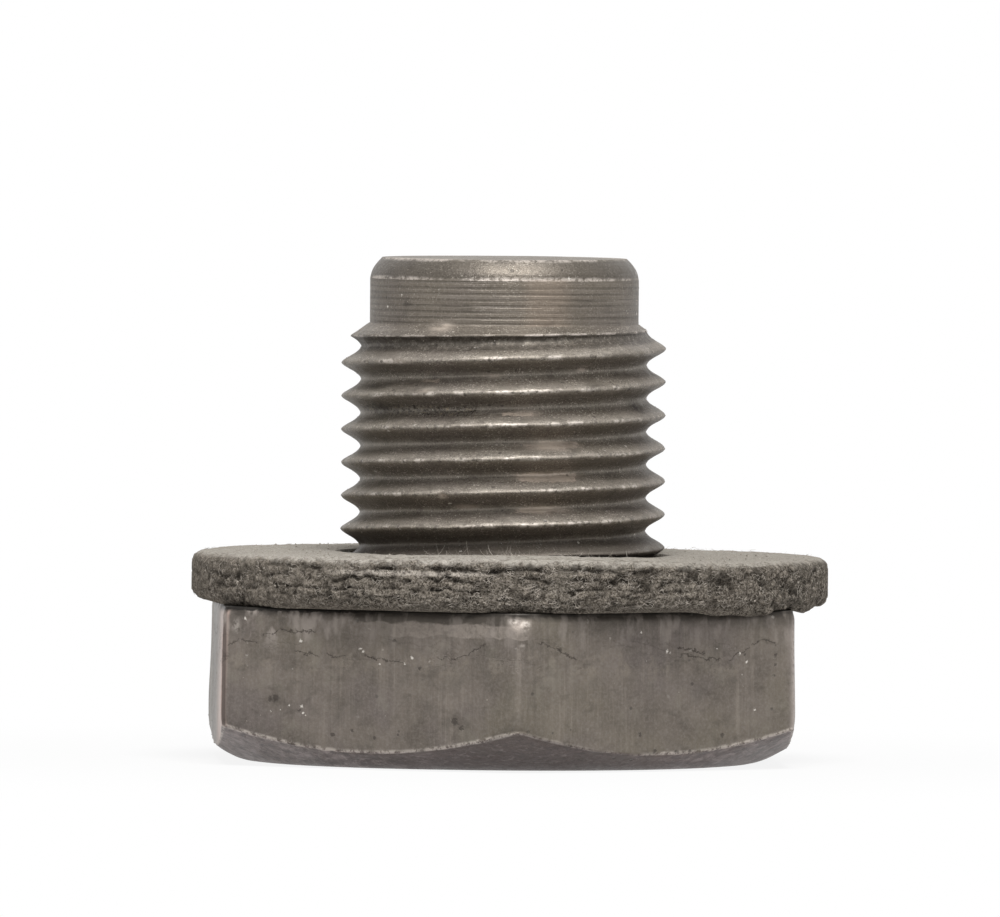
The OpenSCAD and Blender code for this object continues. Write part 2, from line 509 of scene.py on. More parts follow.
def shape_plug(piece, sizes):
    """Mills the hexagon and cuts the thread on the spun blank, then wears both."""
    mesh = piece.data
    points = points_of(mesh)
    rows = rows_of(mesh)
    r, angle = polar(points)
    z = points[:, 2].copy()
    marks = np.cumsum([0] + [faces for _, _, faces in plug_stretches(sizes)])
    face, chamfer, side, seat, neck, _, pilot, tip, end, last = marks
    along = np.clip((rows - chamfer) / CHAMFER_ROWS, 0, 1)
    along = along - 0.12 * np.sin(2 * math.pi * along)

    # The head: each column follows the hexagon from the outer face to the seat
    in_head = rows < neck
    angle = np.where(in_head, draw_to_corners(angle, 0.55), angle)
    hexagon = hexagon_r(angle)
    face_r = sizes.face_d / 2 + 0.13 * np.sin(np.radians(angle)) + 0.85 * bump(turn(angle, 150), 0, 14)
    slope = math.tan(sizes.chamfer)
    chamfer_z = (hexagon - face_r) * slope
    off, _ = corner_offset(angle)
    cornered = step(np.abs(off), 20, 2)
    on_chamfer = (rows >= chamfer) & (rows <= side)
    bulge = 0.09 * np.sin(math.pi * along) * bump(turn(angle, -178), 0, 26)
    r = np.where(on_chamfer, face_r + (hexagon - face_r) * along, r)
    r = np.where(rows < chamfer, face_r * (1 - np.clip(1 - (rows - face) / FACE_ROWS, 0, 1) ** 2), r)
    soft = 0.24 + 0.12 * np.cos(np.radians(angle + 30))
    z = np.where(rows <= side, most((r - face_r) * slope, 0, soft), z)
    r = np.where(on_chamfer, r + bulge, r)
    t = np.clip((rows - side) / SIDE_ROWS, 0, 1)
    t = t - 0.1 * np.sin(2 * math.pi * t)
    on_side = (rows > side) & (rows <= seat)
    r = np.where(on_side, hexagon, r)
    z = np.where(on_side, chamfer_z + (HEAD_Z - chamfer_z) * t, z)
    from_edge = np.where(on_side, z - chamfer_z, (hexagon - r) / math.cos(sizes.chamfer))
    r = r - np.where(on_side | on_chamfer, 0.05 * cornered * np.exp(-(from_edge / 0.32) ** 2), 0)
    neck_r = neck_radius(sizes)
    on_seat = (rows > seat) & (rows < neck)
    r = np.where(on_seat, neck_r + (hexagon - neck_r) * (neck - rows) / SEAT_ROWS, r)

    # The shank: rows keep their height, and the thread sets their distance from the axis
    on_shank = (rows >= neck) & (rows <= pilot)
    wobble = 9 * fractal(from_polar(r, np.radians(angle), z), 1.2, 21)
    cut, off_crest = thread_r(angle + wobble, z, sizes)
    blank = blank_r(z, sizes)
    r = np.where(on_shank, least(cut, blank, 0.06), r)

    # A burr along the lip of the lead chamfer, dark in the groove above it
    lip = bump(cut - blank, 0, 0.11) * step(z, 15.0, 15.6) * (1 - step(blank, PILOT_R + 0.7, PILOT_R + 0.9))
    lip = lip * step(blank, PILOT_R + 0.02, PILOT_R + 0.1) * on_shank
    first_groove = step(z, 15.7, 15.85) * step(np.abs(off_crest), 0.24, 0.36)
    first_groove = first_groove * step(blank - cut, 0.0, 0.08) * on_shank

    # The tip's chamfer bulges slightly
    on_tip = (rows > tip) & (rows < end)
    r = r + np.where(on_tip, 0.09 * np.sin(math.pi * (rows - tip) / TIP_ROWS), 0)

    # Parts of the thread that the material tells apart
    place = from_polar(r, np.radians(angle), z)
    threaded = on_shank * step(blank, 5.3, 5.6)
    crest = step(cut, CREST_R - 0.18, CREST_R - 0.02) * threaded
    # The rising flank under each crest, which the material paints lighter as a painted highlight
    rising = step(cut, CREST_R - 0.62, CREST_R - 0.04) * step(off_crest, -0.2, -0.02) * threaded
    # The undersides of the thread, which the material paints darker as painted shade
    under = step(-off_crest, 0.02, 0.14) * (1 - step(-off_crest, 0.52, 0.6)) * threaded
    root = (1 - step(sizes.pitch / 2 - np.abs(off_crest), 0.06, 0.22)) * threaded

    # Wear: dents on the crests, burrs along the chamfer, soft waves over the head
    dents = step(fractal(place, 0.9, 11), 0.2, 0.7) * crest
    nicks = step(noise(place, 0.28, 12), 0.5, 0.85) * crest
    r = r - 0.05 * dents - 0.045 * nicks + 0.013 * noise(place, 0.22, 13) * on_shank
    lip = lip * step(noise(place, 0.35, 23), -0.5, 0.3)
    r = r + 0.04 * lip * noise(place, 0.25, 24)
    edge = np.where(in_head, bump(rows, side - 0.4, 2.0), 0)
    burr = step(noise(place, 0.3, 14), -0.1, 0.7)
    r = r + (0.02 * edge * burr - 0.035 * edge * (1 - burr)) * (1 - 0.8 * cornered)
    edge = edge * (1 + 0.6 * fractal(place, 0.6, 22) + 0.3 * cornered)
    # How bright the corners are painted, for wear and as a painted highlight
    arris = worn_and_highlit_corners(angle) * on_side
    rubbed = np.zeros(len(r))
    for towards, mark_z, wide, tall, depth, shine in MARKS:
        away = np.radians(turn(angle, towards)) * r / wide
        spot = np.exp(-(away ** 2 + ((z - mark_z) / tall) ** 2) ** 1.5)
        spot = spot * (rows > side)
        r = r - depth * spot
        rubbed = np.maximum(rubbed, shine * spot)
    stain = stained(r, angle, z)
    height = np.where(on_side | on_seat, HEAD_Z - z, 9.0)
    r = r - np.where(on_side, 0.09 * (1 - step(height, 0, 0.32)) * (1 + 0.6 * fractal(place, 0.8, 15)), 0)
    r = r - np.where(on_side, 0.07 * step(z, 1.5, HEAD_Z), 0)
    waves = np.where(on_side, fractal(place, 3.0, 16), 0)
    r = r + 0.025 * waves
    ripple = 0.05 * edge * noise(place, 0.3, 17) * (1 - 0.8 * cornered)
    z = z + np.where((rows >= chamfer) & (rows < neck), ripple, 0)
    z = np.maximum(z, 0)

    # The tip's edges are chipped, most towards the front
    tip_edge = np.where(rows >= tip, bump(rows, end, 1.0) + bump(rows, tip, 1.2), 0)
    ahead = bump(turn(angle, -90), 0, 30)
    patchy = 0.6 + 0.4 * ahead + 0.6 * noise(place, 1.6, 19) + 0.4 * noise(place, 0.35, 20)
    tip_edge = tip_edge * np.clip(patchy, 0.1, 1)
    r = r - 0.03 * tip_edge * (1 + noise(place, 0.4, 18))
    r = np.maximum(r, 0)
    angle = angle - np.where(in_head, 0.7 * bump(turn(angle, -150), 0, 14), 0)
    place = from_polar(r, np.radians(angle), z)
    axis = (rows == face) | (rows == last)
    place[axis, :2] = 0
    move_points(mesh, place)

    masks = {
        "crest": crest, "under": under, "root": root, "rising": rising, "arris": arris, "rubbed": rubbed,
        "edge": np.maximum(np.maximum(edge, 1.3 * tip_edge), lip),
        "stain": np.maximum(stain, 0.75 * first_groove),
        "turned": rows >= neck,
        "chamfered": rows <= side,
        "pilot": (rows >= pilot) & (rows <= tip),
        "tipped": (rows > tip) & (rows < end),
    }
    for name, values in masks.items():
        paint(mesh, name, values)


# The shape of the gasket

# Faces along each stretch of the gasket's outline
BOTTOM_ROWS = 12
ROUND_ROWS = 14
RIM_ROWS = 16
TOP_ROWS = 28
BORE_ROWS = 9

# Splits between the gasket's torn layers: share of its height, width and depth
SPLITS = [(0.83, 0.05, 1.0), (0.62, 0.036, 0.75), (0.42, 0.024, 0.6), (0.22, 0.02, 0.4)]
# How far the top's right side has sunk
SAG = 0.11


def gasket_stretches(sizes):
    """The outline of the flat ring, from the bore round the underside, the rim and the top."""
    bore = CREST_R + sizes.bore_gap
    low, high, edge = GASKET_LOW.z, GASKET_HIGH.z, sizes.edge_round
    return [
        ((bore, low), (RIM_R - edge, low), BOTTOM_ROWS),
        ((RIM_R - edge, low), (RIM_R, low + edge), ROUND_ROWS),
        ((RIM_R, low + edge), (RIM_R, high - edge), RIM_ROWS),
        ((RIM_R, high - edge), (RIM_R - edge, high), ROUND_ROWS),
        ((RIM_R - edge, high), (bore, high), TOP_ROWS),
        ((bore, high), (bore, low), BORE_ROWS),
    ]


def torn_layers(place, height, front):
    """How torn the sheet is, and how deep it has split into ragged layers, most along the upper front."""
    torn = np.clip(0.15 + 0.85 * bump(front, -12, 34) + 0.45 * noise(place, 2.2, 31), 0, 1)
    flat_place = place * np.array([1, 1, 0.25])
    layer = height + 0.09 * fractal(flat_place, 1.5, 32) + 0.05 * noise(flat_place, 0.3, 30)
    split = np.zeros(len(height))
    for share, width, depth in SPLITS:
        open_here = step(noise(flat_place + share * 40, 0.9, 33), -0.35, 0.2)
        split = np.maximum(split, depth * bump(layer, share, width) * open_here)
    return torn, split * torn


def ahead_of(front):
    """1 at the front of the gasket, and less towards its smoother sides and back."""
    return 1 - 0.75 * step(np.abs(front), 35, 60)


def fluffed(front):
    """How far the top is fluffed up towards the front."""
    return 0.06 * bump(front, 0, 40)


def shape_gasket(piece, sizes):
    """Rounds the spun ring's edges and lets its rim crumble."""
    mesh = piece.data
    points = points_of(mesh)
    rows = rows_of(mesh)
    r, angle = polar(points)
    z = points[:, 2].copy()
    low, high, edge = GASKET_LOW.z, GASKET_HIGH.z, sizes.edge_round
    bore = CREST_R + sizes.bore_gap
    side = BOTTOM_ROWS + ROUND_ROWS
    upper = side + RIM_ROWS

    # Quarter rounds between the rim and the flat faces
    for first, centre_z, sign in ((BOTTOM_ROWS, low + edge, -1), (upper, high - edge, 1)):
        t = (rows - first) / ROUND_ROWS
        inside = (t > 0) & (t < 1)
        bend = t if sign > 0 else 1 - t
        r = np.where(inside, RIM_R - edge + edge * np.cos(bend * math.pi / 2), r)
        z = np.where(inside, centre_z + sign * edge * np.sin(bend * math.pi / 2), z)

    place = from_polar(r, np.radians(angle), z)
    outer = step(r, RIM_R - 0.8, RIM_R - 0.2)
    height = (z - low) / (high - low)
    front = turn(angle, FRONT)

    # Ragged layers, granules and pits of the broken fibre
    torn, split = torn_layers(place, height, front)
    near, second = grains(place, 0.26, 34)
    seams = 1 - step(second - near, 0.0, 0.4)
    holes = step(fractal(place, 0.3, 35, 2), 0.1, 0.5)
    chunks, _ = grains(place * np.array([1, 1, 1.4]), 0.62, 47)
    lumps = noise(place, 0.17, 36)
    crumble = 0.25 * seams + 0.6 * holes * (0.6 + 0.4 * torn) + 1.4 * split + 0.4 * lumps
    crumble = crumble + (0.6 * step(chunks, 0.4, 0.75) * step(front, -30, 30)
                         * step(noise(place, 1.1, 48), -0.5, 0.3))
    crumble = crumble + 1.2 * bump(front, 42, 3.0) * bump(height, 0.62, 0.2)
    depth = sizes.crumble * crumble * outer * (1 - (1 - ahead_of(front)) * step(height, 0.72, 0.9))
    out_r = np.clip((r - (RIM_R - edge)) / edge, 0, 1) * (outer > 0)
    out_z = np.sign(height - 0.5) * np.sqrt(np.clip(1 - out_r ** 2, 0, 1))
    r = r - depth * out_r + outer * 0.04 * noise(place, 4.0, 37)
    z = z - depth * out_z * outer * 0.7

    # The top is felted and its bore is ragged
    on_top = rows > upper + ROUND_ROWS // 2
    tufts = (0.05 + 0.06 * outer) * ahead_of(front) * fractal(place, 0.28, 38)
    tufts = tufts + 0.035 * noise(place, 1.5, 39)
    z = z + np.where(on_top, (tufts - 0.03 + fluffed(front)) * step(height, 0.86, 0.98), 0)
    by_bore = 1 - step(r, bore, bore + 1.6)
    closed = 0.6 * bump(turn(angle, -20), 0, 60)
    ragged = 0.09 * fractal(place, 0.5, 40) * step(height, 0.3, 0.9)
    r = r - by_bore * (closed * step(height, 0.5, 0.9) + ragged)

    # The right side has sagged: its top is lower and its underside hangs over the flat
    x = r * np.cos(np.radians(angle))
    z = z - SAG * step(x, 0, 9) * np.clip(height, 0, 1)
    over = r - hexagon_r(angle)
    lift = (0.1 + 0.05 * step(x, 0, 8)) * step(over, 0.1, 0.9) * (1 - step(height, 0.15, 0.5))
    window = step(front, 36, 48) * (1 - step(front, 70, 84))
    sag = 0.19 * window * bump(over, 0.2, 0.5) * (1 - step(height, 0.2, 0.6))
    sag = sag + 0.17 * step(x, 8, 11.5) * step(over, 0.2, 1.0) * (1 - step(height, 0.15, 0.5))
    z = z + lift - sag * (1 + 0.3 * noise(place, 0.8, 41))

    z = np.clip(z, None, high + 0.1)
    r = np.minimum(r, RIM_R)
    place = from_polar(r, np.radians(angle), z)
    place[:, 0] += GASKET_X
    move_points(mesh, place)

    # The pit mask darkens the rim the deeper it crumbles, as painted shade in its pits and splits
    paint(mesh, "pit", np.clip(crumble * 0.9, 0, 1) * outer)
    paint(mesh, "top", step(height + 0.05 * lumps, 0.89, 0.99))


# Loose fibres, crumbs and dust

FIBRE_SEED = 7


def tube_faces(rings):
    """Faces of a three-sided tube with closed ends, whose points come ring by ring."""
    last = 3 * (rings - 1)
    sides = [(3 * i + k, 3 * i + (k + 1) % 3, 3 * i + 3 + (k + 1) % 3, 3 * i + 3 + k)
             for i in range(rings - 1) for k in range(3)]
    return [(2, 1, 0)] + sides + [(last, last + 1, last + 2)]


def strand(rng, start, heading, lean, length, thickness):
    """Points and faces of one thin curved fibre."""
    rings = 5
    bend = rng.normal(0, 0.6, 2) * min(1, length)
    path = [np.array(start, dtype=float)]
    for _ in range(rings - 1):
        heading += bend[0] + rng.normal(0, 0.12)
        lean = np.clip(lean + 0.5 * bend[1] + rng.normal(0, 0.08), -0.9, 1.3)
        path.append(path[-1] + direction(heading, lean) * length / (rings - 1))
    side = np.array([-math.sin(heading), math.cos(heading), 0])
    up = np.array([0, 0, 1])
    points = []
    for i, centre in enumerate(path):
        size = thickness * (1 - 0.55 * i / (rings - 1))
        for k in range(3):
            turned = 2 * math.pi * k / 3
            points.append(centre + size * (side * math.cos(turned) + up * math.sin(turned)))
    return points, tube_faces(rings)


def on_section(across, sizes):
    """Where a way along the gasket's section leads, up the rim and then inward over the top."""
    edge = sizes.edge_round
    wall = GASKET_HIGH.z - GASKET_LOW.z - 2 * edge
    below = np.clip(-across / edge, 0, math.pi / 2)
    above = np.clip((across - wall) / edge, 0, math.pi / 2)
    r = RIM_R - edge + edge * np.cos(below + above) - np.maximum(across - wall - edge * math.pi / 2, 0)
    z = GASKET_LOW.z + edge + np.clip(across, 0, wall) + edge * (np.sin(above) - np.sin(below))
    return r, z, np.cos(below + above), np.sin(above) - np.sin(below)


def felt(rng, sizes):
    """Points and faces of short bent fibres that cover the rim and lie on the front of the top."""
    low, high, edge = GASKET_LOW.z, GASKET_HIGH.z, sizes.edge_round
    turned_over = high - low - 2 * edge + edge * math.pi / 2
    count = sizes.felt
    on_rim = np.arange(count) < 0.84 * count
    front = rng.random(count) < np.where(on_rim, 0.35, 0.75)
    angle = np.where(front, np.radians(FRONT) + rng.normal(0, 0.5, count),
                     rng.uniform(0, 2 * math.pi, count))
    inward = rng.beta(1, 2.2, count) * (RIM_R - edge - CREST_R - 0.9)
    across = np.where(on_rim, rng.uniform(-0.4, turned_over, count), turned_over - 0.2 + inward)

    # The fibres leave the splits between the layers open
    r, z, _, _ = on_section(across, sizes)
    height = (z - low) / (high - low)
    _, split = torn_layers(from_polar(r, angle, z), height, turn(np.degrees(angle), FRONT))
    keep = (split < 0.3) | (rng.random(count) < 0.15)
    angle, across, on_rim = angle[keep], across[keep], on_rim[keep]
    count = len(angle)
    heading = np.where(on_rim, rng.normal(0, 0.8, count), rng.uniform(-math.pi, math.pi, count))
    length = rng.uniform(0.1, 0.34, count)
    curve = rng.normal(0, 2.2, count)
    raised = np.where(on_rim, 0.0, 0.05 * step(np.abs(turn(np.degrees(angle), FRONT)), 30, 55))
    depth = rng.uniform(-0.09, -0.015, count) * np.where(on_rim, 1, 0.7) - raised
    thick = rng.uniform(0.005, 0.011, count)
    points = np.empty((count, 3, 3, 3))
    for ring, share in enumerate((-0.5, 0.0, 0.5)):
        s = share * length
        way = heading + curve * s
        upward = across + s * np.sin(heading) + 0.5 * curve * s * s * np.cos(heading)
        r, z, out_r, out_z = on_section(upward, sizes)
        theta = angle + (s * np.cos(heading) - 0.5 * curve * s * s * np.sin(heading)) / r
        out = from_polar(out_r, theta, out_z)
        round_way = np.stack([-np.sin(theta), np.cos(theta), np.zeros(count)], axis=1)
        up_way = np.cross(out, round_way)
        side = -np.sin(way)[:, None] * round_way + np.cos(way)[:, None] * up_way
        middle = from_polar(r, theta, z) + depth[:, None] * out
        size = thick * (1.0 if ring == 1 else 0.5)
        for k in range(3):
            turned = 2 * math.pi * k / 3
            points[:, ring, k] = middle + size[:, None] * (math.cos(turned) * side + math.sin(turned) * out)
    height = np.clip((points[..., 2] - low) / (high - low), 0, 1)
    points[..., 2] -= SAG * step(points[..., 0], 0, 9) * height
    points[..., 2] += (fluffed(turn(np.degrees(angle), FRONT)) * ~on_rim)[:, None, None]
    points[..., 0] += GASKET_X
    faces = [tuple(9 * i + p for p in face) for i in range(count) for face in tube_faces(3)]
    return points.reshape(-1, 3), faces


def crumb(rng, centre, size):
    """Points and faces of one uneven crumb."""
    axes = np.array([(1, 0, 0), (-1, 0, 0), (0, 1, 0), (0, -1, 0), (0, 0, 1), (0, 0, -1)], dtype=float)
    points = [centre + axis * size * rng.uniform(0.5, 1.2) for axis in axes]
    faces = [(0, 2, 4), (2, 1, 4), (1, 3, 4), (3, 0, 4), (2, 0, 5), (1, 2, 5), (3, 1, 5), (0, 3, 5)]
    return points, faces


def loose_bits(sizes, plug):
    """Fibres on the gasket's top and torn edge, with crumbs on the gasket and on the steel."""
    rng = np.random.default_rng(FIBRE_SEED)
    bore = CREST_R + sizes.bore_gap
    high = GASKET_HIGH.z
    bits = []

    def spot(angle, r, z):
        z += fluffed(turn(math.degrees(angle), FRONT)) if z > high - 0.1 else 0
        z -= SAG * max(0, math.cos(angle))
        return np.array([r * math.cos(angle) + GASKET_X, r * math.sin(angle), z])

    def keep(bit, ahead):
        """Keeps a bit that is inside the CAD box, and away from the front only if it lies low."""
        where = np.array(bit[0])
        inside = (where * MM > np.array(CAD_BOX[0])).all() and (where * MM < np.array(CAD_BOX[1])).all()
        reach = np.hypot(where[:, 0] - GASKET_X, where[:, 1]).max()
        low = where[:, 2].max() < high and reach < RIM_R + 0.01
        if inside and (ahead or low):
            bits.append(bit)

    for _ in range(sizes.fibres):
        ahead = rng.random() < 0.75
        angle = math.radians(FRONT + rng.normal(0, 20)) if ahead else rng.uniform(0, 2 * math.pi)
        r = rng.uniform(bore + 0.1, RIM_R - 0.6) if rng.random() < 0.5 else bore + abs(rng.normal(0, 0.35))
        lean = abs(rng.normal(0, 0.2)) if ahead else 0.02
        keep(strand(rng, spot(angle, r, high - 0.06), rng.uniform(0, 6.28), lean,
                    rng.uniform(0.15, 0.7 if ahead else 0.5), rng.uniform(0.006, 0.012)), ahead)
    for _ in range(sizes.fibres * 2):
        angle = rng.uniform(0, 2 * math.pi)
        z = high - abs(rng.normal(0.1, 0.45))
        r = RIM_R - 0.1 - (0.35 if z > high - 0.25 else 0)
        in_front = abs(turn(math.degrees(angle), FRONT)) < 50
        keep(strand(rng, spot(angle, r, z), angle + rng.normal(0, 1.3), rng.normal(0.1, 0.5),
                    rng.uniform(0.1, 0.3), rng.uniform(0.006, 0.011)), in_front)
    for _ in range(sizes.fibres * 2):
        angle = rng.uniform(0, 2 * math.pi)
        if rng.random() < 0.6:
            centre = spot(angle, RIM_R - 0.06, rng.uniform(high - 1.5, high - 0.4))
        else:
            centre = spot(angle, rng.uniform(bore + 0.2, RIM_R - 0.5), high - 0.02)
        keep(crumb(rng, centre, rng.uniform(0.012, 0.05)), True)
    steel = points_of(plug.data)
    for index in rng.integers(0, len(steel), sizes.fibres * 3):
        if steel[index, 2] > 0.5:
            keep(crumb(rng, steel[index], rng.uniform(0.008, 0.03)), True)

    felt_points, faces = felt(rng, sizes)
    points = list(felt_points)
    for bit_points, bit_faces in bits:
        faces += [tuple(i + len(points) for i in face) for face in bit_faces]
        points += bit_points
    mesh = bpy.data.meshes.new("loose_fibres")
    mesh.from_pydata([tuple(p * MM) for p in points], [], faces)
    piece = bpy.data.objects.new("loose_fibres", mesh)
    bpy.context.scene.collection.objects.link(piece)
    return piece


# Materials

# Colours of the bare steel, and of the dirt and painted shade on it
STEEL_DARK = (0.110, 0.092, 0.076)
STEEL_LIGHT = (0.170, 0.144, 0.122)
GRIME_AND_SHADE = (0.05, 0.042, 0.034)
SOOT_AND_SHADE = (0.035, 0.029, 0.023)
# Distance between the turning marks on the pilot
MARK_PITCH = 0.2275


def new_material(name):
    """A material that holds nothing but its shader, and that shader."""
    material = bpy.data.materials.new(name)
    material.use_nodes = True
    nodes = material.node_tree.nodes
    nodes.clear()
    output = nodes.new("ShaderNodeOutputMaterial")
    shader = nodes.new("ShaderNodeBsdfPrincipled")
    material.node_tree.links.new(shader.outputs["BSDF"], output.inputs["Surface"])
    return material, shader


class Nodes:
    """Short ways to add the nodes of one material."""

    def __init__(self, material):
        self.tree = material.node_tree
        self.place = self.add("ShaderNodeTexCoord").outputs["Object"]

    def add(self, kind, inputs=(), **settings):
        node = self.tree.nodes.new(kind)
        for key, value in settings.items():
            setattr(node, key, value)
        for key, value in dict(inputs).items():
            self.put(node.inputs[key], value)
        return node

    def put(self, socket, value):
        if isinstance(value, bpy.types.NodeSocket):
            self.tree.links.new(value, socket)
        else:
            socket.default_value = value

    def scaled(self, x, y, z):
        """Object coordinates with so many units to a millimetre."""
        return self.add("ShaderNodeMapping", {
            "Vector": self.place, "Scale": (x / MM, y / MM, z / MM)}).outputs["Vector"]

    def axes(self):
        """X, Y and Z in millimetres."""
        return self.add("ShaderNodeSeparateXYZ", {"Vector": self.scaled(1, 1, 1)}).outputs

    def noise(self, scale, detail=3.0, rough=0.5, swirl=0.0):
        """Noise with so many lumps to a millimetre, as one number or one for each direction."""
        x, y, z = scale if isinstance(scale, tuple) else (scale, scale, scale)
        return self.add("ShaderNodeTexNoise", {
            "Vector": self.scaled(x, y, z), "Scale": 1.0, "Detail": detail, "Roughness": rough,
            "Distortion": swirl}).outputs["Fac"]

    def spots(self, scale):
        """Distance from the nearest of many scattered points, and a random colour for each point."""
        node = self.add("ShaderNodeTexVoronoi", {"Vector": self.scaled(scale, scale, scale), "Scale": 1.0})
        return node.outputs["Distance"], node.outputs["Color"]

    def attribute(self, name):
        return self.add("ShaderNodeAttribute", attribute_name=name).outputs["Fac"]

    def math(self, operation, a, b=0.5, third=0.5, clamp=False):
        node = self.add("ShaderNodeMath", operation=operation, use_clamp=clamp)
        for socket, value in zip(node.inputs, (a, b, third)):
            self.put(socket, value)
        return node.outputs[0]

    def times(self, *values):
        """The product of some values."""
        total = values[0]
        for value in values[1:]:
            total = self.math("MULTIPLY", total, value)
        return total

    def most(self, *values):
        """The largest of some values."""
        total = values[0]
        for value in values[1:]:
            total = self.math("MAXIMUM", total, value)
        return total

    def plus(self, a, b):
        return self.math("ADD", a, b)

    def minus(self, a, b):
        return self.math("SUBTRACT", a, b)

    def ramp(self, value, low, high, start=0.0, end=1.0):
        """Runs smoothly from start to end while the value runs from low to high."""
        return self.add("ShaderNodeMapRange", {
            "Value": value, "From Min": low, "From Max": high, "To Min": start, "To Max": end},
            interpolation_type="SMOOTHSTEP").outputs["Result"]

    def between(self, value, low, rise, high, fall):
        """Rises from 0 at low to 1 at rise, and falls from 1 at fall to 0 at high."""
        return self.times(self.ramp(value, low, rise), self.ramp(value, high, fall))

    def mix(self, share, a, b):
        node = self.add("ShaderNodeMix", data_type="RGBA")
        self.put(node.inputs["Factor"], share)
        for name, color in (("A", a), ("B", b)):
            self.put(node.inputs[name], (*color, 1) if isinstance(color, tuple) else color)
        return node.outputs["Result"]

    def lay(self, base, color, *masks):
        """Lays a colour over another where all the masks are high."""
        return self.mix(self.times(*masks), base, color)

    def coats(self, base, table):
        """Lays colours in turn, each row being (colour, share, mask, low, high, more masks)."""
        for color, share, mask, low, high, *others in table:
            base = self.lay(base, color, self.ramp(mask, low, high, 0.0, share), *others)
        return base

    def line(self, along, height, start, end, wander, width=0.034):
        """A thin wavering line between two points (along, height) of a flat."""
        (s0, z0), (s1, z1) = (start, end)
        path = self.math("MULTIPLY_ADD", along, (z1 - z0) / (s1 - s0),
                         third=z0 - s0 * (z1 - z0) / (s1 - s0))
        gap = self.math("ABSOLUTE", self.plus(self.minus(height, path), wander))
        ends = self.between(along, s0 - 0.03, s0 + 0.08, s1 + 0.03, s1 - 0.08)
        return self.times(self.ramp(gap, width, width * 0.35), ends)

    def patch(self, x, z, wide, tall, ragged):
        """A patch between two X and two heights, with ragged edges."""
        x, z = self.plus(x, ragged), self.plus(z, self.times(0.3, ragged))
        return self.times(self.between(x, wide[0], wide[0] + 0.15, wide[1], wide[1] - 0.06),
                          self.between(z, tall[0], tall[0] + 0.05, tall[1], tall[1] - 0.05))

    def dots(self, spots, ragged):
        """Small uneven spots, each given as (X, height, size)."""
        flattened = self.scaled(1, 0, 1)
        masks = []
        for x, z, size in spots:
            away = self.add("ShaderNodeVectorMath", {0: flattened, 1: (x, 0, z)}, operation="DISTANCE")
            away = self.math("MULTIPLY_ADD", ragged, 0.35, third=away.outputs["Value"])
            masks.append(self.ramp(away, 0.6 * size, 0.3 * size))
        return self.most(*masks)

    def bump(self, height, strength, distance, normal=None):
        node = self.add("ShaderNodeBump", {
            "Height": height, "Strength": strength, "Distance": distance * MM})
        if normal is not None:
            self.put(node.inputs["Normal"], normal)
        return node.outputs["Normal"]


def chamfer_coats(n, base, x, chamfered):
    """The head's chamfer: darker in the middle, with slanting scratches."""
    dark = n.mix(n.ramp(x, -4.0, -9.0), (0.074, 0.05, 0.048), (0.155, 0.118, 0.11))
    dark = n.lay(dark, (0.128, 0.092, 0.087), n.ramp(x, 3.0, 7.0))
    base = n.lay(base, dark, 0.75, chamfered)
    scratch = n.noise((3.0, 4.0, 7.0), detail=5.0, rough=0.75, swirl=0.8)
    scratch = n.times(n.ramp(scratch, 0.52, 0.66), chamfered)
    base = n.lay(base, (0.34, 0.29, 0.275), scratch, n.ramp(x, 2.0, -8.0, 0.3, 0.5))
    worn = n.times(n.ramp(n.noise((4.0, 4.0, 6.0), detail=5.0, rough=0.8), 0.52, 0.38), chamfered)
    base = n.lay(base, (0.045, 0.034, 0.032), 0.5, worn)
    mottle = n.noise((1.7, 1.7, 3.2), detail=5.0, rough=0.7, swirl=0.4)
    outward = n.times(chamfered, n.most(n.ramp(x, -2.0, -6.0), n.ramp(x, 4.0, 8.0)))
    return n.coats(base, [
        ((0.3, 0.25, 0.24), 0.5, mottle, 0.5, 0.62, outward),
        ((0.05, 0.038, 0.035), 0.6, mottle, 0.48, 0.36, outward),
    ])


def crack_mask(n, x, y, height, flat):
    """Fine meandering cracks high on the flats, the longest where the table of cracks puts them."""
    trace = n.noise((0.33, 0.33, 0.95), detail=6.0, rough=0.55)
    other = n.noise((0.5502, 0.5502, 0.917), detail=6.0, rough=0.6)
    crack = n.ramp(n.math("ABSOLUTE", n.minus(trace, 0.5)), 0.013, 0.004)
    crack = n.most(crack, n.ramp(n.math("ABSOLUTE", n.minus(other, 0.47)), 0.009, 0.002))
    crack = n.times(crack, n.between(height, 3.5, 4.2, 5.3, 4.9))
    crack = n.times(crack, n.ramp(n.noise((0.45, 0.45, 0.7), detail=2.0), 0.4, 0.52))
    crack = n.times(crack, n.ramp(y, -6.0, -6.6, 1.0, 0.3))
    wander = n.times(0.7, n.minus(n.noise(2.6, detail=6.0, rough=0.7), 0.5))
    for side, paths in CRACKS.items():
        facing = n.math("MULTIPLY_ADD", y, -0.866, third=n.times(x, 0.5 * side))
        along = n.math("MULTIPLY_ADD", x, 0.866, third=n.times(y, 0.5 * side))
        lines = n.most(*[n.line(along, height, start, end, wander) for start, end in paths])
        crack = n.most(crack, n.times(lines, n.ramp(facing, 10.4, 10.6)))
    return n.times(crack, flat)


